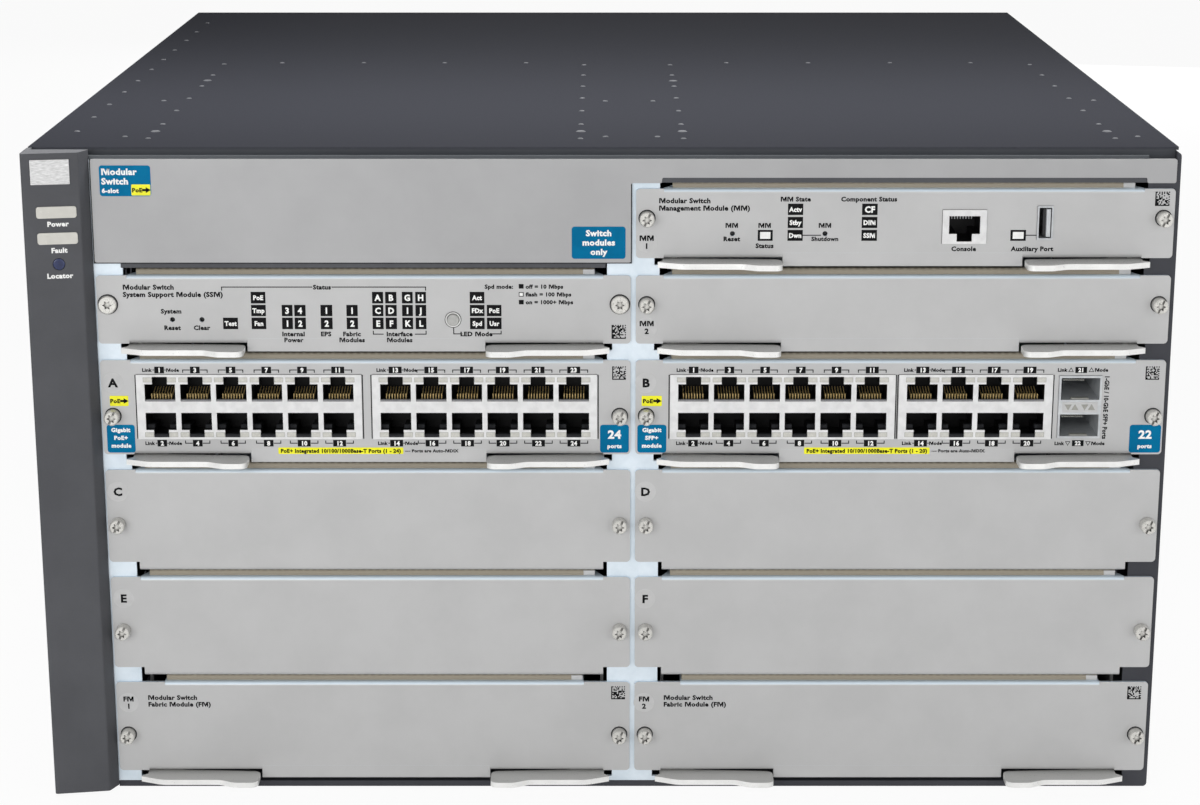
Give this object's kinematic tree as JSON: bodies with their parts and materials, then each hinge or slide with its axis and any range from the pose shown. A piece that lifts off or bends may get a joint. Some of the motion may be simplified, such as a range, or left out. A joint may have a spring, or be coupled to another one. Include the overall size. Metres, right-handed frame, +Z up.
{
  "type": "modular network switch chassis",
  "caption": "Rack-mount modular network switch: steel chassis with sliding front modules on ejector levers, sprung buttons, and fans and power supplies that slide out behind.",
  "frame": {"origin": "middle of the underside of the chassis floor", "axes": "+X to the right seen from the front, +Y from the front to the rear, +Z up"},
  "size_m": [0.4444, 0.4935, 0.263],
  "materials": {
    "chassis": "fine-textured dark grey paint on folded steel sheet",
    "cover": "fine-textured charcoal paint on steel sheet",
    "zinc_sheet": "zinc-plated steel sheet, satin",
    "faceplate": "silver-grey paint on folded steel sheet, fine texture",
    "bezel": "moulded plastic, fine spark texture",
    "window": "milky light guide",
    "locator": "tinted light guide",
    "board": "solder mask on glass-fibre board",
    "lever": "satin",
    "fastener": "nickel-plated steel",
    "jack_shield": "tinned steel shield over moulded plastic",
    "cage": "bright plated sheet",
    "button_black": "moulded plastic",
    "button_grey": "moulded plastic",
    "rotor": "glass-filled moulded plastic"
  },
  "bodies": {
    "chassis": {"chassis_shell": "chassis", "top_cover": "cover", "front_frame": "zinc_sheet", "fascia_panel": "faceplate", "side_bezel": "bezel", "status_windows": "window", "locator_lens": "locator", "backplane": "board", "slot_cover_c": "faceplate", "slot_cover_d": "faceplate", "slot_cover_e": "faceplate", "slot_cover_f": "faceplate", "slot_cover_screws": "fastener"},
    "fabric_1_module": {"fabric_1_case": "faceplate", "fabric_1_fasteners": "fastener"},
    "fabric_1_lever_left": {"fabric_1_lever_left": "lever"},
    "fabric_1_lever_right": {"fabric_1_lever_right": "lever"},
    "fabric_2_module": {"fabric_2_case": "faceplate", "fabric_2_fasteners": "fastener"},
    "fabric_2_lever_left": {"fabric_2_lever_left": "lever"},
    "fabric_2_lever_right": {"fabric_2_lever_right": "lever"},
    "line_a_module": {"line_a_tray": "faceplate", "line_a_board": "board", "line_a_fasteners": "fastener", "line_a_jacks": "jack_shield"},
    "line_a_lever_left": {"line_a_lever_left": "lever"},
    "line_a_lever_right": {"line_a_lever_right": "lever"},
    "line_b_module": {"line_b_tray": "faceplate", "line_b_board": "board", "line_b_fasteners": "fastener", "line_b_jacks": "jack_shield", "line_b_cages": "cage"},
    "line_b_lever_left": {"line_b_lever_left": "lever"},
    "line_b_lever_right": {"line_b_lever_right": "lever"},
    "support_module": {"support_tray": "faceplate", "support_board": "board", "support_fasteners": "fastener"},
    "support_lever_left": {"support_lever_left": "lever"},
    "support_lever_right": {"support_lever_right": "lever"},
    "management_1_module": {"management_1_tray": "faceplate", "management_1_board": "board", "management_1_fasteners": "fastener", "management_1_console_jack": "jack_shield", "management_1_usb_port": "cage"},
    "management_1_lever_left": {"management_1_lever_left": "lever"},
    "management_1_lever_right": {"management_1_lever_right": "lever"},
    "management_2_module": {"management_2_tray": "faceplate", "management_2_fasteners": "fastener"},
    "management_2_lever_left": {"management_2_lever_left": "lever"},
    "management_2_lever_right": {"management_2_lever_right": "lever"},
    "management_1_reset_button": {"management_1_reset_button": "button_black"},
    "management_1_shutdown_button": {"management_1_shutdown_button": "button_black"},
    "support_reset_button": {"support_reset_button": "button_black"},
    "support_clear_button": {"support_clear_button": "button_black"},
    "support_mode_button": {"support_mode_button": "button_grey"},
    "fan_tray": {"fan_tray": "zinc_sheet"},
    "fan_rotor_left": {"fan_rotor_left": "rotor"},
    "power_supply_left": {"power_supply_left": "zinc_sheet"},
    "fan_rotor_right": {"fan_rotor_right": "rotor"},
    "power_supply_right": {"power_supply_right": "zinc_sheet"}
  },
  "joints": [
    {"name": "fabric_1_slide", "type": "slide", "parent": "chassis", "child": "fabric_1_module", "axis": [0, -1, 0], "range_m": [0, 0.33]},
    {"name": "fabric_1_lever_left_hinge", "type": "hinge", "parent": "fabric_1_module", "child": "fabric_1_lever_left", "pos_m": [-0.18115, -0.2249, 0.0059], "axis": [0, 0, -1], "range_deg": [0, 36]},
    {"name": "fabric_1_lever_right_hinge", "type": "hinge", "parent": "fabric_1_module", "child": "fabric_1_lever_right", "pos_m": [-0.00415, -0.2249, 0.0059], "axis": [0, 0, 1], "range_deg": [0, 36]},
    {"name": "fabric_2_slide", "type": "slide", "parent": "chassis", "child": "fabric_2_module", "axis": [0, -1, 0], "range_m": [0, 0.33]},
    {"name": "fabric_2_lever_left_hinge", "type": "hinge", "parent": "fabric_2_module", "child": "fabric_2_lever_left", "pos_m": [0.02745, -0.2249, 0.0059], "axis": [0, 0, -1], "range_deg": [0, 36]},
    {"name": "fabric_2_lever_right_hinge", "type": "hinge", "parent": "fabric_2_module", "child": "fabric_2_lever_right", "pos_m": [0.20445, -0.2249, 0.0059], "axis": [0, 0, 1], "range_deg": [0, 36]},
    {"name": "line_a_slide", "type": "slide", "parent": "chassis", "child": "line_a_module", "axis": [0, -1, 0], "range_m": [0, 0.33]},
    {"name": "line_a_lever_left_hinge", "type": "hinge", "parent": "line_a_module", "child": "line_a_lever_left", "pos_m": [-0.18115, -0.2249, 0.14], "axis": [0, 0, -1], "range_deg": [0, 36]},
    {"name": "line_a_lever_right_hinge", "type": "hinge", "parent": "line_a_module", "child": "line_a_lever_right", "pos_m": [-0.00415, -0.2249, 0.14], "axis": [0, 0, 1], "range_deg": [0, 36]},
    {"name": "line_b_slide", "type": "slide", "parent": "chassis", "child": "line_b_module", "axis": [0, -1, 0], "range_m": [0, 0.33]},
    {"name": "line_b_lever_left_hinge", "type": "hinge", "parent": "line_b_module", "child": "line_b_lever_left", "pos_m": [0.02745, -0.2249, 0.14], "axis": [0, 0, -1], "range_deg": [0, 36]},
    {"name": "line_b_lever_right_hinge", "type": "hinge", "parent": "line_b_module", "child": "line_b_lever_right", "pos_m": [0.20445, -0.2249, 0.14], "axis": [0, 0, 1], "range_deg": [0, 36]},
    {"name": "support_slide", "type": "slide", "parent": "chassis", "child": "support_module", "axis": [0, -1, 0], "range_m": [0, 0.33]},
    {"name": "support_lever_left_hinge", "type": "hinge", "parent": "support_module", "child": "support_lever_left", "pos_m": [-0.18115, -0.2249, 0.185], "axis": [0, 0, -1], "range_deg": [0, 36]},
    {"name": "support_lever_right_hinge", "type": "hinge", "parent": "support_module", "child": "support_lever_right", "pos_m": [-0.00415, -0.2249, 0.185], "axis": [0, 0, 1], "range_deg": [0, 36]},
    {"name": "management_1_slide", "type": "slide", "parent": "chassis", "child": "management_1_module", "axis": [0, -1, 0], "range_m": [0, 0.33]},
    {"name": "management_1_lever_left_hinge", "type": "hinge", "parent": "management_1_module", "child": "management_1_lever_left", "pos_m": [0.02745, -0.2249, 0.2191], "axis": [0, 0, -1], "range_deg": [0, 36]},
    {"name": "management_1_lever_right_hinge", "type": "hinge", "parent": "management_1_module", "child": "management_1_lever_right", "pos_m": [0.20445, -0.2249, 0.2191], "axis": [0, 0, 1], "range_deg": [0, 36]},
    {"name": "management_2_slide", "type": "slide", "parent": "chassis", "child": "management_2_module", "axis": [0, -1, 0], "range_m": [0, 0.12]},
    {"name": "management_2_lever_left_hinge", "type": "hinge", "parent": "management_2_module", "child": "management_2_lever_left", "pos_m": [0.02745, -0.2249, 0.185], "axis": [0, 0, -1], "range_deg": [0, 36]},
    {"name": "management_2_lever_right_hinge", "type": "hinge", "parent": "management_2_module", "child": "management_2_lever_right", "pos_m": [0.20445, -0.2249, 0.185], "axis": [0, 0, 1], "range_deg": [0, 36]},
    {"name": "management_1_reset_button_press", "type": "slide", "parent": "management_1_module", "child": "management_1_reset_button", "axis": [0, 1, 0], "range_m": [0, 0.0008], "stiffness_N_per_m": 400},
    {"name": "management_1_shutdown_button_press", "type": "slide", "parent": "management_1_module", "child": "management_1_shutdown_button", "axis": [0, 1, 0], "range_m": [0, 0.0008], "stiffness_N_per_m": 400},
    {"name": "support_reset_button_press", "type": "slide", "parent": "support_module", "child": "support_reset_button", "axis": [0, 1, 0], "range_m": [0, 0.0008], "stiffness_N_per_m": 400},
    {"name": "support_clear_button_press", "type": "slide", "parent": "support_module", "child": "support_clear_button", "axis": [0, 1, 0], "range_m": [0, 0.0008], "stiffness_N_per_m": 400},
    {"name": "support_mode_button_press", "type": "slide", "parent": "support_module", "child": "support_mode_button", "axis": [0, 1, 0], "range_m": [0, 0.0008], "stiffness_N_per_m": 400},
    {"name": "fan_tray_slide", "type": "slide", "parent": "chassis", "child": "fan_tray", "axis": [0, 1, 0], "range_m": [0, 0.12]},
    {"name": "fan_rotor_left_spin", "type": "hinge", "parent": "fan_tray", "child": "fan_rotor_left", "pos_m": [-0.095, 0.2185, 0.175], "axis": [0, 1, 0], "continuous": true},
    {"name": "power_supply_left_slide", "type": "slide", "parent": "chassis", "child": "power_supply_left", "axis": [0, 1, 0], "range_m": [0, 0.22]},
    {"name": "fan_rotor_right_spin", "type": "hinge", "parent": "fan_tray", "child": "fan_rotor_right", "pos_m": [0.095, 0.2185, 0.175], "axis": [0, 1, 0], "continuous": true},
    {"name": "power_supply_right_slide", "type": "slide", "parent": "chassis", "child": "power_supply_right", "axis": [0, 1, 0], "range_m": [0, 0.22]}
  ]
}
